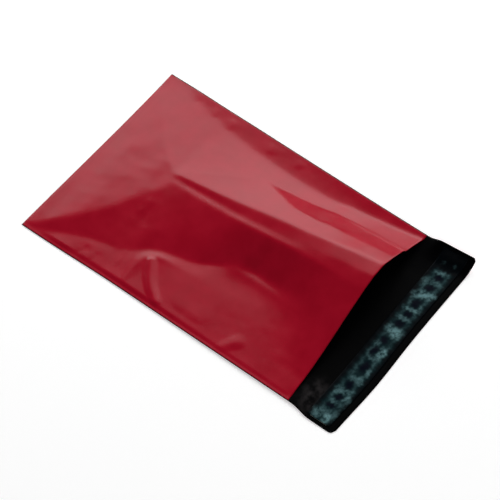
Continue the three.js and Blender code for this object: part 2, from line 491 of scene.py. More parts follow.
    def __init__(self, lay: Lay, creases: list[Crease]) -> None:
        """Works the heights out.

        Args:
            lay: How the back panel lies, which the front panel rests on where they touch.
            creases: What is pressed into the panel.
        """
        self.lay = lay
        web = lay.web
        self.x = np.arange(-web.half - self.MARGIN, web.half + self.MARGIN, self.STEP)
        self.y = np.arange(web.mouth - self.MOUTH_MARGIN, web.closed_end + self.MARGIN, self.STEP)
        across, along = np.meshgrid(self.x, self.y)
        folded = np.array([self.section(float(y)) for y in self.y])
        under = lay.underside(across, along) + 2.0 * web.film
        sharp = np.maximum(folded - under, 0.0)
        clear = self.softened(sharp, 1.0)
        for zone in (self.SHELF_END, self.STEP_SIDE, self.RIGHT_FOOT):
            clear = blend(clear, self.softened(sharp, zone.softness), zone.share(across, along))
        reliefs = [crease.relief(across, along) for crease in creases]
        pressed = np.max(reliefs, axis=0) + np.minimum(np.min(reliefs, axis=0), 0.0)
        pressed = pressed + self.unevenness(across, along)
        holds = [(clear + low) / (clear + high) for low, high in (self.RIDGE_HOLD, self.VALLEY_HOLD)]
        soft = clear + pressed * np.where(pressed > 0.0, *holds)
        free = np.clip((web.weld_line - np.abs(across)) / self.WELD_RISE, 0.0, 1.0)
        free = free * np.clip((web.closed_end - along) / self.END_RISE, 0.0, 1.0)
        self.clear = np.maximum(soft, 0.0) * free**0.5

    def section(self, y: float) -> Array:
        """Works out the facets' heights along one row across the bag.

        Args:
            y: Where the row lies along the bag.

        Returns:
            The height at each of the grid's places across.
        """
        web, weld = self.lay.web, self.lay.web.weld_line
        low = [float(self.lay.underside(np.array(x), np.array(y))) for x in (-weld, weld)]
        (crest_x, crest_z), (foot_x, _) = self.CREST.at(y), self.FOOT.at(y)
        foot_z = float(self.lay.underside(np.array(foot_x), np.array(y))) + 2.0 * web.film
        lines = (self.RIM, self.SHELF, self.TROUGH, self.STEP_TOP, self.STEP_FOOT)
        points = [(-weld, low[0])] + [line.at(y) for line in lines] + [(crest_x, crest_z)]
        for line in (self.BROW, self.LEDGE, self.SHIN):
            at_x, stands = line.at(y)
            chord = blend(crest_z, foot_z, (at_x - crest_x) / (foot_x - crest_x))
            points.append((at_x, chord + stands))
        points += [(foot_x, foot_z), (weld, low[1])]
        across, height = np.array(points, dtype=float).T
        return np.interp(self.x, across, height)

    def unevenness(self, x: Array, y: Array) -> Array:
        """Works out the slight waves of film that has been handled.

        Args:
            x: Across the bag, in millimetres.
            y: Along it.

        Returns:
            The height that they add at each place.
        """
        dice = np.random.default_rng(11)
        shortest, longest = self.WAVE_LENGTHS
        total = np.zeros(x.shape)
        for _ in range(self.WAVES):
            length, turn = dice.uniform(shortest, longest), dice.uniform(0.0, math.pi)
            shift = dice.uniform(0.0, self.WAVE_SHIFT)
            wave = (x * math.cos(turn) + y * math.sin(turn)) * 2.0 * math.pi / length
            total += np.sin(wave + shift) * length / longest
        return self.UNEVEN * total

    def softened(self, heights: Array, times: float) -> Array:
        """Rounds the folds off, as the film's stiffness does.

        Args:
            heights: The grid's heights.
            times: How many times as much as usual they are rounded.

        Returns:
            The rounded heights.
        """
        for axis, soft in ((1, times * self.SOFT_ACROSS), (0, times * self.SOFT_ALONG)):
            reach = int(3.0 * soft / self.STEP)
            offsets = np.arange(-reach, reach + 1) * self.STEP
            weights = np.exp(-0.5 * (offsets / soft) ** 2)
            weights /= weights.sum()
            padding = [(reach, reach) if side == axis else (0, 0) for side in (0, 1)]
            padded = np.pad(heights, padding, mode="edge")
            heights = np.apply_along_axis(np.convolve, axis, padded, weights, mode="valid")
        return heights

    def gap(self, x: Array, y: Array) -> Array:
        """Works out the clear height between the two panels.

        Args:
            x: Across the flat web, in millimetres.
            y: Along the bag.

        Returns:
            The height at each place.
        """
        column = np.clip((x - self.x[0]) / self.STEP, 0.0, len(self.x) - 1.001)
        row = np.clip((y - self.y[0]) / self.STEP, 0.0, len(self.y) - 1.001)
        left, low = column.astype(int), row.astype(int)
        right_part, upper_part = column - left, row - low
        lower = blend(self.clear[low, left], self.clear[low, left + 1], right_part)
        upper = blend(self.clear[low + 1, left], self.clear[low + 1, left + 1], right_part)
        return blend(lower, upper, upper_part)


@dataclass(frozen=True)
class FilmColours:
    """Film colours: the co-extruded faces, the dark of the welded edges, and a grey of painted sheen."""

    outside: Colour = (0.44, 0.0030, 0.0200, 1.0)
    outside_deep: Colour = (0.39, 0.0024, 0.0165, 1.0)
    inside: Colour = (0.0008, 0.0008, 0.0010, 1.0)
    inside_deep: Colour = (0.0005, 0.0005, 0.0007, 1.0)
    # A grey that paints sheen on the black film
    painted_sheen_grey: Colour = (0.034, 0.030, 0.031, 1.0)
    # Dark of the welded edges: partly the fused film's black layer, partly painted shade where it turns
    # down
    weld: Colour = (0.045, 0.003, 0.007, 1.0)


@dataclass(frozen=True)
class SealColours:
    """The glue's colour and those of the printed release liner."""

    glue: Colour = (0.55, 0.52, 0.42, 1.0)
    bare: Colour = (0.0010, 0.0022, 0.0034, 1.0)
    liner: Colour = (0.0030, 0.0160, 0.0190, 1.0)
    liner_pale: Colour = (0.20, 0.39, 0.41, 1.0)
    dot: Colour = (0.0004, 0.0016, 0.0070, 1.0)


class Nodes:
    """A small helper that lays out the nodes of one tree."""

    def __init__(self, tree: bpy.types.NodeTree) -> None:
        """Keeps the tree and empties it."""
        self.tree = tree
        tree.nodes.clear()

    def add(self, kind: str, **values: object) -> bpy.types.Node:
        """Adds a node and sets its properties and its sockets' values.

        Args:
            kind: The node's Blender type.
            **values: Properties by name, or socket values by name with _ for a space.

        Returns:
            The node.
        """
        node = self.tree.nodes.new(kind)
        for name, value in values.items():
            if hasattr(node, name):
                setattr(node, name, value)
            else:
                node.inputs[name.replace("_", " ")].default_value = value
        return node

    def join(self, source: bpy.types.NodeSocket, target: bpy.types.NodeSocket) -> None:
        """Links an output to an input."""
        self.tree.links.new(source, target)

    def math(self, operation: str, first: object, second: object = None) -> bpy.types.NodeSocket:
        """Adds a Math node.

        Args:
            operation: What it works out.
            first: Its first input, a socket or a number.
            second: Its second input, where it has one.

        Returns:
            Its output.
        """
        node = self.add("ShaderNodeMath", operation=operation)
        for slot, value in enumerate((first, second)):
            if isinstance(value, bpy.types.NodeSocket):
                self.join(value, node.inputs[slot])
            elif value is not None:
                node.inputs[slot].default_value = value
        return node.outputs[0]

    def mix(self, factor: bpy.types.NodeSocket, low: object, high: object) -> bpy.types.NodeSocket:
        """Mixes two colours.

        Args:
            factor: The second colour's share.
            low: The first colour, a socket or a value.
            high: The second colour, likewise.

        Returns:
            The mixed colour.
        """
        node = self.add("ShaderNodeMix", data_type="RGBA")
        self.join(factor, node.inputs["Factor"])
        for name, value in (("A", low), ("B", high)):
            socket = next(s for s in node.inputs if s.name == name and s.type == "RGBA")
            if isinstance(value, bpy.types.NodeSocket):
                self.join(value, socket)
            else:
                socket.default_value = value
        return next(s for s in node.outputs if s.type == "RGBA")

    def grade(self, value: bpy.types.NodeSocket, low: float, high: float) -> bpy.types.NodeSocket:
        """Eases a value from 0 to 1.

        Args:
            value: The value.
            low: Where the result is 0.
            high: Where it is 1.

        Returns:
            The eased value.
        """
        node = self.add("ShaderNodeMapRange", interpolation_type="SMOOTHSTEP")
        self.join(value, node.inputs["Value"])
        node.inputs["From Min"].default_value = low
        node.inputs["From Max"].default_value = high
        return node.outputs["Result"]

    def press(
        self, height: bpy.types.NodeSocket, shader: bpy.types.Node, depth: float, strength: float = 1.0
    ) -> None:
        """Presses a pattern into a shader's surface.

        Args:
            height: The pattern, where 1 is high.
            shader: The shader whose normal it tilts.
            depth: Its real depth, in millimetres.
            strength: How much of it shows.
        """
        bump = self.add("ShaderNodeBump")
        bump.inputs["Strength"].default_value = strength
        bump.inputs["Distance"].default_value = depth * MM
        self.join(height, bump.inputs["Height"])
        self.join(bump.outputs["Normal"], shader.inputs["Normal"])


def new_group(name: str, inputs: dict[str, str], outputs: dict[str, str]) -> Nodes:
    """Makes a shader node group with named sockets.

    Args:
        name: The group's name.
        inputs: Each input's name and socket type.
        outputs: Each output's name and socket type.

    Returns:
        The helper that holds the group's tree.
    """
    tree = bpy.data.node_groups.new(name, "ShaderNodeTree")
    for label, kind in inputs.items():
        tree.interface.new_socket(name=label, in_out="INPUT", socket_type=kind)
    for label, kind in outputs.items():
        tree.interface.new_socket(name=label, in_out="OUTPUT", socket_type=kind)
    return Nodes(tree)


FLOAT = "NodeSocketFloat"
VECTOR = "NodeSocketVector"


def film_grain_group(
    line_scale: tuple[float, float, float] = (900.0, 14.0, 1.0),
    peel_share: float = 0.5,
    mottled: tuple[float, float] = (0.3, 0.7),
    rough_swing: float = 0.16,
) -> bpy.types.NodeTree:
    """Makes the grain of blown film: slow mottling, lines along the web and a fine orange peel.

    Args:
        line_scale: How fine the lines are across the web, and how fine along it.
        peel_share: How high the orange peel stands beside the lines.
        mottled: The part of the mottling's noise over which its tone changes.
        rough_swing: How far the mottling shifts the roughness, from end to end.

    Returns:
        The group.
    """
    group = new_group(
        "film_grain",
        {"Web": VECTOR, "Line Depth": FLOAT},
        {"Tone": FLOAT, "Roughness Shift": FLOAT, "Height": FLOAT},
    )
    entry = group.add("NodeGroupInput")
    leave = group.add("NodeGroupOutput")
    mottle = group.add("ShaderNodeTexNoise", Scale=55.0, Detail=4.0, Roughness=0.6)
    group.join(entry.outputs["Web"], mottle.inputs["Vector"])
    stretch = group.add("ShaderNodeMapping")
    stretch.inputs["Scale"].default_value = line_scale
    group.join(entry.outputs["Web"], stretch.inputs["Vector"])
    lines = group.add("ShaderNodeTexNoise", Scale=1.0, Detail=2.0)
    group.join(stretch.outputs["Vector"], lines.inputs["Vector"])
    peel = group.add("ShaderNodeTexNoise", Scale=420.0, Detail=2.0)
    group.join(entry.outputs["Web"], peel.inputs["Vector"])
    drawn = group.math("MULTIPLY", lines.outputs["Fac"], entry.outputs["Line Depth"])
    height = group.math("ADD", drawn, group.math("MULTIPLY", peel.outputs["Fac"], peel_share))
    group.join(group.grade(mottle.outputs["Fac"], *mottled), leave.inputs["Tone"])
    shift = group.math("MULTIPLY", group.math("SUBTRACT", mottle.outputs["Fac"], 0.5), rough_swing)
    group.join(shift, leave.inputs["Roughness Shift"])
    group.join(height, leave.inputs["Height"])
    return group.tree


def weld_mark_group(
    edge_fade: float = 0.6, fused_step: tuple[float, float] = (0.9, 1.1)
) -> bpy.types.NodeTree:
    """Makes the side weld's marks: its dark edge, partly painted shade, and its fused film, which lies
    lower.

    Args:
        edge_fade: The share of the dark edge over which it fades.
        fused_step: Where the film steps up, as shares of the weld's width from the edge.

    Returns:
        The group.
    """
    group = new_group(
        "weld_marks",
        {"Web": VECTOR, "Half Width": FLOAT, "Weld": FLOAT, "Edge": FLOAT},
        {"Edge Mask": FLOAT, "Height": FLOAT},
    )
    entry = group.add("NodeGroupInput")
    leave = group.add("NodeGroupOutput")
    split = group.add("ShaderNodeSeparateXYZ")
    group.join(entry.outputs["Web"], split.inputs[0])
    off_middle = group.math("ABSOLUTE", split.outputs["X"])
    inside = group.math("SUBTRACT", entry.outputs["Half Width"], off_middle)
    edge = group.math("SUBTRACT", 1.0, group.math("DIVIDE", inside, entry.outputs["Edge"]))
    group.join(group.grade(edge, 0.0, edge_fade), leave.inputs["Edge Mask"])
    fused = group.grade(group.math("DIVIDE", inside, entry.outputs["Weld"]), *fused_step)
    group.join(fused, leave.inputs["Height"])
    return group.tree


def web_coordinates(nodes: Nodes) -> bpy.types.NodeSocket:
    """Adds the web map: across and along the flat web, in metres."""
    return nodes.add("ShaderNodeUVMap", uv_map=WEB_MAP).outputs["UV"]


def new_material(name: str) -> tuple[bpy.types.Material, Nodes, bpy.types.Node]:
    """Makes a node material that holds a Principled shader and its output.

    Args:
        name: The material's name.

    Returns:
        The material, the helper that holds its tree, and the shader node.
    """
    material = bpy.data.materials.new(name)
    material.use_nodes = True
    nodes = Nodes(material.node_tree)
    output = nodes.add("ShaderNodeOutputMaterial")
    shader = nodes.add("ShaderNodeBsdfPrincipled")
    nodes.join(shader.outputs["BSDF"], output.inputs["Surface"])
    return material, nodes, shader


@dataclass(frozen=True)
class FilmFinish:
    """One face of the film: soft-gloss polyethylene with the grain of blown film."""

    name: str
    bright: Colour
    deep: Colour
    weld: Colour
    web: Web
    roughness: float = 0.23
    gloss: float = 0.23
    peel: float = 0.02
    peel_strength: float = 0.35
    line_depth: float = 0.6
    edge: float = 0.9
    # The grey of painted sheen, where its patch lies on the web, and how it fades into specks
    painted_sheen_colour: Colour | None = None
    sheen_middle: tuple[float, float] = (-68.0, 471.0)
    sheen_half: tuple[float, float] = (20.0, 12.0)
    sheen_fade: tuple[float, float] = (0.1, 1.0)
    sheen_specks: tuple[float, float] = (0.34, 0.72)

    def material(self, grain: bpy.types.NodeTree, marks: bpy.types.NodeTree) -> bpy.types.Material:
        """Builds the material from the two shared groups.

        Args:
            grain: The film's grain.
            marks: The marks of its welds.

        Returns:
            The material.
        """
        material, nodes, shader = new_material(self.name)
        web = web_coordinates(nodes)
        texture = nodes.add("ShaderNodeGroup", node_tree=grain)
        texture.inputs["Line Depth"].default_value = self.line_depth
        nodes.join(web, texture.inputs["Web"])
        weld = nodes.add("ShaderNodeGroup", node_tree=marks)
        weld.inputs["Half Width"].default_value = self.web.half * MM
        weld.inputs["Weld"].default_value = self.web.weld * MM
        weld.inputs["Edge"].default_value = self.edge * MM
        nodes.join(web, weld.inputs["Web"])
        plain = nodes.mix(texture.outputs["Tone"], self.deep, self.bright)
        # Painted sheen: grey specks where reflections on the lip's wrinkles would show
        if self.painted_sheen_colour:
            plain = nodes.mix(self.painted_sheen_mask(nodes, web), plain, self.painted_sheen_colour)
        # Dark edge: the fused film's black layer, with painted shade where the edge turns down to the
        # table
        colour = nodes.mix(weld.outputs["Edge Mask"], plain, self.weld)
        nodes.join(colour, shader.inputs["Base Color"])
        rough = nodes.math("ADD", texture.outputs["Roughness Shift"], self.roughness)
        nodes.join(rough, shader.inputs["Roughness"])
        shader.inputs["Specular IOR Level"].default_value = self.gloss
        height = nodes.math("ADD", texture.outputs["Height"], weld.outputs["Height"])
        nodes.press(height, shader, self.peel, self.peel_strength)
        return material

    def painted_sheen_mask(self, nodes: Nodes, web: bpy.types.NodeSocket) -> bpy.types.NodeSocket:
        """Painted sheen: grey specks in one patch of the black lip, standing for reflections on its
        wrinkles.

        Args:
            nodes: The material's helper.
            web: The web map.

        Returns:
            The mask.
        """
        placed = nodes.add("ShaderNodeMapping", vector_type="TEXTURE")
        placed.inputs["Location"].default_value = (*(part * MM for part in self.sheen_middle), 0.0)
        placed.inputs["Scale"].default_value = (*(part * MM for part in self.sheen_half), 1.0)
        nodes.join(web, placed.inputs["Vector"])
        away = nodes.add("ShaderNodeVectorMath", operation="LENGTH")
        nodes.join(placed.outputs["Vector"], away.inputs[0])
        near = nodes.math("SUBTRACT", 1.0, nodes.grade(away.outputs["Value"], *self.sheen_fade))
        specks = nodes.add("ShaderNodeTexNoise", Scale=130.0, Detail=3.0, Roughness=0.5)
        nodes.join(web, specks.inputs["Vector"])
        return nodes.math("MULTIPLY", near, nodes.grade(specks.outputs["Fac"], *self.sheen_specks))


@dataclass(frozen=True)
class GlueFinish:
    """Hot-melt glue: cloudy, and darker where it lies thin."""

    colour: Colour
    roughness: float = 0.45
    thin: float = 0.6
    wave_depth: float = 0.05

    def material(self) -> bpy.types.Material:
        """Builds the material, with the slow waves that the nozzle leaves.

        Returns:
            The material.
        """
        material, nodes, shader = new_material("glue")
        waves = nodes.add("ShaderNodeTexNoise", Scale=180.0, Detail=3.0)
        nodes.join(web_coordinates(nodes), waves.inputs["Vector"])
        thin = (*(self.thin * part for part in self.colour[:3]), 1.0)
        nodes.join(nodes.mix(waves.outputs["Fac"], thin, self.colour), shader.inputs["Base Color"])
        shader.inputs["Roughness"].default_value = self.roughness
        nodes.press(waves.outputs["Fac"], shader, self.wave_depth)
        return material


@dataclass(frozen=True)
class Waver:
    """A strength that wavers along the stripe and is 1 at most.

    Attributes:
        dip: How far below its middle value it falls.
        rate: How fast it wavers, in radians to the millimetre.
        sway: How unevenly it does so.
        sway_rate: How fast that unevenness comes and goes.
        shift: Where its wave begins.
    """

    dip: float
    rate: float
    sway: float
    sway_rate: float
    shift: float = 0.0

    def at(self, x: Array) -> Array:
        """The strength at each place along the stripe."""
        swaying = self.sway * np.sin(self.sway_rate * x)
        return 1.0 - self.dip + self.dip * np.sin(self.rate * x + swaying + self.shift)


@dataclass(frozen=True)
class Blot:
    """An oval of print on the liner: its middle and half sizes in mm, its strength and how soft it is."""

    x: float
    y: float
    half_width: float
    half_depth: float
    strength: float = 1.0
    soft: float = 1.4

    def cover(self, x: Array, y: Array) -> Array:
        """How much of the oval's ink lies at each place."""
        away = np.hypot((x - self.x) / self.half_width, (y - self.y) / self.half_depth)
        return self.strength * (1.0 - ease((away - 1.0) / self.soft + 0.5))


@dataclass(frozen=True)
class LinerPrint:
    """The liner's print: two pale rails joined by bars, dark dots between them, and a dim end.

    The wave across shifts the print across the bag: its size, its rate along the bag and its
    rate across. Each wave along shifts it along: its size, its rate across and where it begins.
    Sizes are in millimetres, and rates in radians to the millimetre.
    """

    row: float = -120.6
    rail: float = 4.3
    rail_depth: float = 1.3
    rail_strengths: tuple[float, float] = (0.3, 0.42)
    rail_waver: Waver = Waver(0.3, 0.31, 1.2, 0.17)
    patch_waver: Waver = Waver(0.28, 0.21, 1.6, 0.11, 0.5)
    fades_at: float = 66.0
    fade_run: float = 5.0
    tint_half: float = 4.0
    tint_run: float = 5.0
    wave_across: tuple[float, float, float] = (0.5, 1.9, 0.6)
    waves_along: tuple[tuple[float, float, float], ...] = ((0.45, 0.9, 1.1), (0.25, 2.3, 0.0))
    dots: tuple[Blot, ...] = (
        Blot(-65.5, 0.0, 1.7, 3.6), Blot(-57.5, -0.3, 2.7, 2.5), Blot(-46, 0.0, 3.5, 2.7),
        Blot(-29, 0.0, 5.0, 2.6), Blot(-15, 2.2, 4.2, 2.2), Blot(-4.5, 1.2, 3.0, 2.6),
        Blot(12, 0.0, 3.0, 3.3), Blot(21.4, 0.0, 2.4, 3.0), Blot(31.5, 0.3, 4.6, 2.8),
        Blot(47.3, 0.0, 3.1, 3.4), Blot(57.4, 0.0, 2.9, 3.0),
    )
    patches: tuple[Blot, ...] = (
        Blot(-75, -3.6, 4.0, 2.6, 0.95), Blot(-74, 4.0, 5.0, 3.0, 0.5), Blot(-71, 0.0, 3.0, 4.5, 0.4),
        Blot(-61.8, 0.0, 1.7, 5.0, 0.6), Blot(-52, 0.0, 2.2, 5.2, 0.6), Blot(-51.5, -4.6, 3.6, 2.2, 0.7),
        Blot(-53, 4.4, 4.2, 1.8, 0.5), Blot(-40.5, 0.0, 2.2, 4.8, 0.5), Blot(-39.5, -3.8, 3.6, 2.4, 0.65),
        Blot(-31, -4.4, 5.0, 1.5, 0.5), Blot(-20.5, 0.0, 1.8, 4.0, 0.35), Blot(-13.5, -3.4, 5.0, 2.4, 1.0),
        Blot(-9, 3.6, 2.8, 2.0, 0.6), Blot(4.6, -1.6, 4.6, 4.6, 1.0), Blot(6.2, 4.0, 3.4, 2.6, 0.75),
        Blot(16.9, 0.0, 1.9, 5.2, 0.85), Blot(25.8, 0.0, 1.8, 5.4, 0.8), Blot(40, 0.0, 3.6, 5.6, 0.75),
        Blot(41.5, -4.6, 3.8, 2.6, 0.8), Blot(38, 5.2, 3.6, 2.6, 0.6), Blot(52.6, -1.0, 2.4, 5.4, 0.7),
        Blot(51, 6.0, 4.2, 2.6, 0.5), Blot(61.6, 0.0, 2.0, 4.6, 0.5), Blot(70, 4.6, 1.4, 1.2, 0.3),
        Blot(71, -3.6, 1.4, 1.2, 0.25), Blot(-70, -6.2, 5.2, 2.4, 0.36), Blot(-59, -7.0, 4.5, 1.8, 0.22),
        Blot(-75, 6.4, 3.6, 2.2, 0.26),
    )

    def shifted(self, x: Array, y: Array) -> tuple[Array, Array]:
        """Shifts places a little in waves, so that the print's edges come out ragged.

        Args:
            x: Across the flat web, in millimetres.
            y: Along the bag.

        Returns:
            The place across, and how far it lies from the middle of the print's row.
        """
        off = y - self.row
        size, rate_along, rate_across = self.wave_across
        across = x + size * np.sin(rate_along * off + rate_across * x)
        for size, rate, begins in self.waves_along:
            off = off + size * np.sin(rate * x + begins)
        return across, off

    def inks(self, x: Array, y: Array) -> Array:
        """Works out how much of each ink lies on the liner.

        Args:
            x: Across the flat web, in millimetres.
            y: Along the bag.

        Returns:
            The share of pale ink, of dark ink and of the liner's tint, one to a column.
        """
        x, off = self.shifted(x, y)
        reach = ease((self.fades_at - x) / self.fade_run)
        rails = [
            strength * self.rail_waver.at(x) * reach * np.exp(-(((off - side) / self.rail_depth) ** 2))
            for side, strength in zip((self.rail, -self.rail), self.rail_strengths)
        ]
        patches = [blot.cover(x, off) for blot in self.patches]
        pale = self.patch_waver.at(x) * np.max(patches + rails, axis=0)
        dark = np.max([dot.cover(x, off) for dot in self.dots], axis=0)
        tint = reach * (1.0 - ease((np.abs(off) - self.tint_half) / self.tint_run))
        return np.stack([pale, dark, tint], axis=1)


@dataclass(frozen=True)
class LinerFinish:
    """Release liner: thin glossy teal film over the black lip, with its print."""

    colours: SealColours
    roughness: float = 0.35
    gloss: float = 0.03
    worn_range: tuple[float, float] = (0.27, 0.68)
    smear_depth: float = 0.1
    smear_strength: float = 0.5

    def material(self) -> bpy.types.Material:
        """Builds the material on the print's inks, which the stripe's mesh carries.

        Returns:
            The material.
        """
        material, nodes, shader = new_material("liner")
        inks = nodes.add("ShaderNodeAttribute", attribute_name=INK_LAYER)
        split = nodes.add("ShaderNodeSeparateColor")
        nodes.join(inks.outputs["Color"], split.inputs[0])
        smear = nodes.add("ShaderNodeTexNoise", Scale=240.0, Detail=3.0, Roughness=0.6)
        nodes.join(web_coordinates(nodes), smear.inputs["Vector"])
        kept = nodes.grade(smear.outputs["Fac"], *self.worn_range)
        worn = nodes.math("MULTIPLY", split.outputs["Red"], kept)
        ground = nodes.mix(split.outputs["Blue"], self.colours.bare, self.colours.liner)
        printed = nodes.mix(worn, ground, self.colours.liner_pale)
        colour = nodes.mix(split.outputs["Green"], printed, self.colours.dot)
        nodes.join(colour, shader.inputs["Base Color"])
        shader.inputs["Roughness"].default_value = self.roughness
        shader.inputs["Specular IOR Level"].default_value = self.gloss
        nodes.press(smear.outputs["Fac"], shader, self.smear_depth, self.smear_strength)
        return material


def grid_sheet(columns: int, rows: int) -> tuple[bmesh.types.BMesh, Array]:
    """Makes a flat square sheet one unit wide.

    Args:
        columns: Cells across.
        rows: Cells along.

    Returns:
        The mesh, and each vertex's place on the sheet: across and along, from 0 to 1.
    """
    sheet = bmesh.new()
    bmesh.ops.create_grid(sheet, x_segments=columns, y_segments=rows, size=0.5)
    places = np.array([vertex.co[:2] for vertex in sheet.verts])
    low, high = places.min(axis=0), places.max(axis=0)
    return sheet, (places - low) / (high - low)


def place_vertices(sheet: bmesh.types.BMesh, x: Array, y: Array, z: Array) -> None:
    """Moves each vertex of a sheet to its place, given in millimetres."""
    for vertex, place in zip(sheet.verts, np.stack([x, y, z], axis=1) * MM):
        vertex.co = place


def map_web(sheet: bmesh.types.BMesh, across: Array, along: Array) -> None:
    """Writes the web map: each corner's place on the flat web, in metres.

    Args:
        sheet: The mesh.
        across: Each vertex's place across the flat web, in millimetres.
        along: Its place along it.
    """
    layer = sheet.loops.layers.uv.new(WEB_MAP)
    sheet.verts.index_update()
    for face in sheet.faces:
        for loop in face.loops:
            index = loop.vert.index
            loop[layer].uv = (across[index] * MM, along[index] * MM)


def ink_sheet(sheet: bmesh.types.BMesh, inks: Array) -> None:
    """Writes the print's inks on each vertex of a sheet.

    Args:
        sheet: The mesh.
        inks: Each vertex's inks, one to a colour channel.
    """
    layer = sheet.verts.layers.float_color.new(INK_LAYER)
    for vertex, shares in zip(sheet.verts, inks):
        vertex[layer] = (*shares, 1.0)


def to_object(
    sheet: bmesh.types.BMesh, name: str, materials: list[bpy.types.Material]
) -> bpy.types.Object:
    """Turns a finished mesh into a smooth-shaded object at the origin.

    Args:
        sheet: The mesh, which is freed.
        name: The piece's name.
        materials: Its materials in slot order.

    Returns:
        The object.
    """
    mesh = bpy.data.meshes.new(name)
    for face in sheet.faces:
        face.smooth = True
    sheet.to_mesh(mesh)
    sheet.free()
    for material in materials:
        mesh.materials.append(material)
    made = bpy.data.objects.new(name, mesh)
    bpy.context.scene.collection.objects.link(made)
    return made


def give_wall(piece: bpy.types.Object, thickness: float, inner_slot: int = 0) -> None:
    """Gives a sheet its thickness, inwards from the face that it shows.

    Args:
        piece: The sheet.
        thickness: The wall, in millimetres.
        inner_slot: How many material slots on the inner face's finish lies.
    """
    wall = piece.modifiers.new("wall", "SOLIDIFY")
    wall.thickness = thickness * MM
    wall.offset = -1.0
    wall.use_rim = True
    wall.material_offset = inner_slot
    wall.material_offset_rim = inner_slot


class MailingBag:
    """The folded and welded film, with the folds that lying about has pressed into it."""

    def __init__(self, lay: Lay) -> None:
        """Works out the shape that the bag lies in."""
        self.lay = lay
        self.panel = FrontPanel(lay, self.pressed_creases())

    @staticmethod
    def pressed_creases() -> list[Crease]:
        """Lists the creases that show on the front panel: at the left, then by the right weld.

        Returns:
            The creases.
        """
        valley = Fold.VALLEY
        arc = ((-82, 49), (-66, 50.5), (-56, 49.5), (-50, 46), (-47, 40), (-45.5, 30), (-44.5, 14))
        creases = [
            Crease(arc, 0.62, 3.3, fade_in=0.06, fade_out=0.6),
            Crease(((-48, 47), (-59, 39.5), (-69, 31), (-81, 15)), 1.6, 4.2, fade_in=0.12, fade_out=0.2,
                   flat_flanks=True),
            Crease(((-80, 57.5), (-66, 57), (-52, 60)), 0.28, 1.7, fade_in=0.1),
            Crease(((-80, 62), (-66, 61.5), (-50, 64)), 0.3, 1.5, fade_in=0.1),
            Crease(((-82, 66), (-70, 67), (-56, 70)), 0.3, 1.8, valley),
            Crease(((-81, 92), (-74, 87), (-66, 86)), 0.5, 2.4, valley),
            Crease(((-80, 80), (-73, 76), (-67, 78)), 0.35, 2.2, valley),
            Crease(((-71, 20), (-69, -2), (-72, -24)), 0.4, 7.0, fade_in=0.4, fade_out=0.4),
            Crease(((-79, 76), (-78.5, 30), (-78.5, -30), (-79, -96)), 0.5, 6.0, fade_in=0.1,
                   fade_out=0.05),
            Crease(((-81, 116), (-79.5, 104), (-78, 92)), 0.45, 5.0, fade_in=0.3, fade_out=0.3),
            Crease(((-86, -31), (-74, -38), (-60, -47)), 0.95, 5.2, fade_in=0.05, fade_out=0.4,
                   flat_flanks=True),
            Crease(((-30, 78), (-22, 73), (-12, 76)), 0.22, 2.4),
            Crease(((18, 66), (32, 45), (50, 18)), 0.16, 2.6),
            Crease(((-36, 62), (-26, 68), (-14, 70)), 0.2, 2.6, valley),
            Crease(((84, 101), (76, 103.5), (68, 106.5)), 0.6, 2.2, valley, fade_in=0.1, fade_out=0.6),
        ]
        puckers = ((88, 70, 0.35, 2.6), (71, 68, 0.55, 3.8), (36, 68, 0.5, 4.0), (12, 71, 0.35, 3.0))
        outer = 81
        for along, inner, height, reach in puckers:
            path = ((outer, along + 2), (0.5 * (outer + inner), along), (inner, along - 3))
            creases.append(Crease(path, height, reach, fade_in=0.5, fade_out=0.5))
        return creases

    def corner_scale(self, x: Array, y: Array) -> Array:
        """Works out how much narrower the web is where the lip's corners are rounded.

        Args:
            x: Across the flat web, in millimetres, which tells the side.
            y: Along the bag.

        Returns:
            The share of its width that it has there.
        """
        web = self.lay.web
        radius = np.where(x < 0.0, web.corner, web.curled_corner)
        into = np.clip(web.lip_end + radius - y, 0.0, radius)
        return 1.0 - (radius - np.sqrt(radius**2 - into**2)) / web.half

    def build(self, outside: bpy.types.Material, inside: bpy.types.Material) -> bpy.types.Object:
        """Lays the web out, folds it, welds its sides and gives it its wall.

        Args:
            outside: The red face's material.
            inside: The black face's material.

        Returns:
            The piece.
        """
        lay, web = self.lay, self.lay.web
        sheet, places = grid_sheet(web.columns, web.rows)
        flat_x = (places[:, 0] - 0.5) * web.width
        along = web.along(places[:, 1])
        front = along < web.pocket - TOUCH
        fold = np.abs(along - web.pocket) < TOUCH
        map_web(sheet, flat_x, along)
        y = np.where(front, web.mouth + along, web.closed_end - (along - web.pocket))
        x = flat_x * self.corner_scale(flat_x, y)
        under = lay.underside(x, y)
        edge = np.abs(flat_x) > web.half - TOUCH
        gap = self.panel.gap(x, y)
        top = under + np.where(edge, web.film, 2.0 * web.film + gap)
        pocket_edge = edge & (y > web.mouth - TOUCH)
        z = np.where(front, top, np.where(fold | pocket_edge, under + web.film, under))
        bow = lay.mouth_bow * (gap / self.panel.clear.max()) ** lay.mouth_bow_power * lay.opened(y)
        place_vertices(sheet, lay.across(x, y), lay.lengthwise(x, y) + np.where(front, bow, 0.0), z)
        # The welded edges of the two layers lie on one another, and are joined there
        rim = [vertex for vertex, on_edge in zip(sheet.verts, pocket_edge) if on_edge]
        bmesh.ops.remove_doubles(sheet, verts=rim, dist=WELD_REACH * web.film * MM)
        film = to_object(sheet, "folded_film", [outside, inside])
        give_wall(film, web.film, inner_slot=1)
        return film


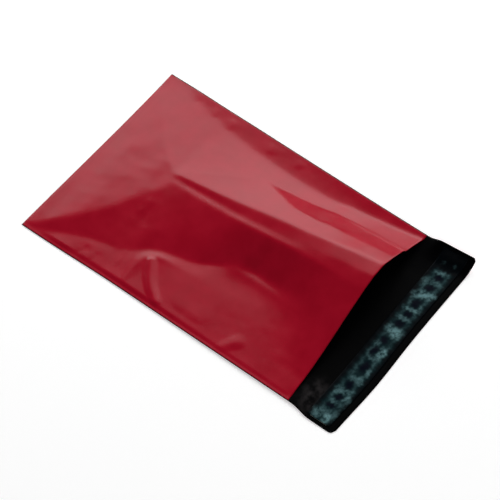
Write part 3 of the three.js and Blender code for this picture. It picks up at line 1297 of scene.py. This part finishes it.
@dataclass(frozen=True)
class SealStripe:
    """A stripe along the lip, in millimetres: the glue, or the liner over it.

    Attributes:
        name: The piece's name.
        width: How wide it is, along the bag.
        thickness: How thick it is.
        stand_off: How far its underside lies above the lip's underside.
        middle: Where its middle lies along the bag.
        end_inset: How far it stops short of each side of the web.
        crinkle: Half the height of its crinkles.
        fine_wave: Their fine wave's rate across, its sway and the sway's rate along.
        broad_wave: Their broad wave's rates across and along, and where it begins.
        printed: Its print, if any.
        columns: Cells across.
        rows: Cells along.
    """

    name: str
    width: float
    thickness: float
    stand_off: float
    middle: float = -120.4
    end_inset: float = 3.2
    crinkle: float = 0.0
    fine_wave: tuple[float, float, float] = (0.61, 0.8, 0.7)
    broad_wave: tuple[float, float, float] = (0.23, 0.35, 1.0)
    printed: LinerPrint | None = None
    columns: int = 240
    rows: int = 28

    def crinkles(self, x: Array, y: Array) -> Array:
        """Works out how high the stripe's crinkles stand.

        Args:
            x: Across the flat web, in millimetres.
            y: Along the bag.

        Returns:
            The height at each place.
        """
        across, sway, along = self.fine_wave
        fine = np.sin(x * across + sway * np.sin(y * along))
        across, along, begins = self.broad_wave
        broad = np.sin(x * across + y * along + begins)
        return self.crinkle * (1.0 + fine * broad)

    def build(self, lay: Lay, material: bpy.types.Material) -> bpy.types.Object:
        """Lays the stripe along the lip, over its curl.

        Args:
            lay: The shape that the lip lies in.
            material: The stripe's finish.

        Returns:
            The piece.
        """
        sheet, places = grid_sheet(self.columns, self.rows)
        x = (places[:, 0] - 0.5) * 2.0 * (lay.web.half - self.end_inset)
        y = self.middle + (places[:, 1] - 0.5) * self.width
        map_web(sheet, x, y)
        if self.printed:
            ink_sheet(sheet, self.printed.inks(x, y))
        z = lay.underside(x, y) + self.stand_off + self.thickness + self.crinkles(x, y)
        place_vertices(sheet, lay.across(x, y), lay.lengthwise(x, y), z)
        stripe = to_object(sheet, self.name, [material])
        give_wall(stripe, self.thickness)
        return stripe


@dataclass(frozen=True)
class Lamp:
    """A flat lamp that faces the bag: where it stands, in degrees and metres, and how bright it is."""

    name: str
    azimuth: float
    elevation: float
    distance: float
    width: float
    height: float
    radiance: float

    def build(self) -> bpy.types.Object:
        """Makes the lamp, whose power gives its face the stated radiance.

        Returns:
            The lamp.
        """
        light = bpy.data.lights.new(self.name, "AREA")
        light.shape = "RECTANGLE"
        light.size, light.size_y = self.width, self.height
        light.energy = self.radiance * math.pi * self.width * self.height
        lamp = bpy.data.objects.new(self.name, light)
        toward = direction(self.azimuth, self.elevation)
        lamp.location = toward * self.distance
        lamp.rotation_mode = "QUATERNION"
        lamp.rotation_quaternion = toward.to_track_quat("Z", "Y")
        bpy.context.scene.collection.objects.link(lamp)
        return lamp


def direction(azimuth: float, elevation: float) -> Vector:
    """Works out the way from the bag to a place.

    Args:
        azimuth: Its turn about the upright, in degrees from -Y.
        elevation: Its rise above the table, in degrees.

    Returns:
        The way, one unit long.
    """
    turn, rise = math.radians(azimuth), math.radians(elevation)
    flat = math.cos(rise)
    return Vector((math.sin(turn) * flat, -math.cos(turn) * flat, math.sin(rise)))


@dataclass(frozen=True)
class Studio:
    """The pale table, the lamps and the camera."""

    azimuth: float = -52.32
    elevation: float = 56.83
    distance: float = 1.5046
    lens: float = 156.59
    sensor: float = 36.0
    target: tuple[float, float, float] = (-0.0033, -0.0040, 0.0)
    table_size: float = 8.0
    table_drop: float = 0.0003
    table: Colour = (0.86, 0.86, 0.86, 1.0)
    table_roughness: float = 0.9
    table_glow: float = 0.42
    ambient: float = 0.05

    def lamps(self) -> list[Lamp]:
        """Lists the lamps: two softboxes beyond the bag, and a fill on the camera's side.

        Returns:
            The lamps.
        """
        far = self.azimuth + 180.0
        return [
            Lamp("softbox_far", far - 6.0, 31.2, 1.6, 3.2, 0.935, 3.95),
            Lamp("softbox_upper", far - 18.0, 56.0, 1.6, 1.3, 0.46, 1.22),
            Lamp("fill_near", self.azimuth, 46.0, 1.8, 1.4, 1.0, 1.7),
        ]

    def build(self) -> None:
        """Builds the world, the table, the lamps and the camera."""
        self.light_world()
        self.lay_table()
        for lamp in self.lamps():
            lamp.build()
        self.set_camera()

    def light_world(self) -> None:
        """Gives the room a dim even grey."""
        world = bpy.data.worlds.new("room")
        world.use_nodes = True
        nodes = Nodes(world.node_tree)
        background = nodes.add("ShaderNodeBackground")
        background.inputs["Strength"].default_value = self.ambient
        output = nodes.add("ShaderNodeOutputWorld")
        nodes.join(background.outputs[0], output.inputs["Surface"])
        bpy.context.scene.world = world

    def lay_table(self) -> None:
        """Lays a pale table that shows white to the camera and in gloss, and keeps the shadow."""
        sheet = bmesh.new()
        bmesh.ops.create_grid(sheet, x_segments=1, y_segments=1, size=self.table_size / 2.0)
        bmesh.ops.translate(sheet, verts=sheet.verts, vec=(0.0, 0.0, -self.table_drop))
        material, nodes, shader = new_material("pale_table")
        shader.inputs["Base Color"].default_value = self.table
        shader.inputs["Roughness"].default_value = self.table_roughness
        shader.inputs["Specular IOR Level"].default_value = 0.0
        rays = nodes.add("ShaderNodeLightPath")
        seen = nodes.math("MAXIMUM", rays.outputs["Is Camera Ray"], rays.outputs["Is Glossy Ray"])
        seen = nodes.math("MAXIMUM", seen, rays.outputs["Is Transmission Ray"])
        nodes.join(nodes.math("MULTIPLY", seen, self.table_glow), shader.inputs["Emission Strength"])
        shader.inputs["Emission Color"].default_value = (1.0, 1.0, 1.0, 1.0)
        table = to_object(sheet, "table_top", [material])

    def set_camera(self) -> None:
        """Stands the camera where the photograph was taken from."""
        camera = bpy.data.cameras.new("camera")
        camera.lens, camera.sensor_width = self.lens, self.sensor
        eye = bpy.data.objects.new("camera", camera)
        back = direction(self.azimuth, self.elevation)
        eye.location = Vector(self.target) + back * self.distance
        eye.rotation_mode = "QUATERNION"
        eye.rotation_quaternion = (-back).to_track_quat("-Z", "Y")
        bpy.context.scene.collection.objects.link(eye)
        bpy.context.scene.camera = eye


def settle(piece: bpy.types.Object, node: str) -> None:
    """Puts a piece in place of its solid and reports it.

    Args:
        piece: The finished piece.
        node: The solid that it stands for.
    """
    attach(piece, "root")
    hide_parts(node)
    log.info("%s stands for %s: %d faces before its wall", piece.name, node, len(piece.data.polygons))


def main() -> None:
    """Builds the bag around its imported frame, then the studio."""
    logging.basicConfig(level=logging.INFO, format="%(name)s: %(message)s")
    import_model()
    bpy.context.scene.view_settings.view_transform = "Standard"

    lay = Lay()
    web = lay.web
    film, seal = FilmColours(), SealColours()
    grain, marks = film_grain_group(), weld_mark_group()
    red = FilmFinish("red_film", film.outside, film.outside_deep, film.weld, web)
    # The black face carries a patch of painted sheen near the lip's left end
    black = FilmFinish(
        "black_film", film.inside, film.inside_deep, film.inside_deep, web, roughness=0.4, gloss=0.02,
        painted_sheen_colour=film.painted_sheen_grey,
    )

    bag = MailingBag(lay).build(red.material(grain, marks), black.material(grain, marks))
    settle(bag, "film_bag")

    glue = SealStripe("glue_stripe", width=14.0, thickness=0.12, stand_off=0.08)
    glue_piece = glue.build(lay, GlueFinish(seal.glue).material())
    settle(glue_piece, "adhesive_strip")

    liner = SealStripe(
        "liner_strip", width=19.0, thickness=0.05, stand_off=0.22, crinkle=0.08, printed=LinerPrint(),
    )
    liner_piece = liner.build(lay, LinerFinish(seal).material())
    settle(liner_piece, "release_liner")

    Studio().build()


if __name__ == "__main__":
    main()
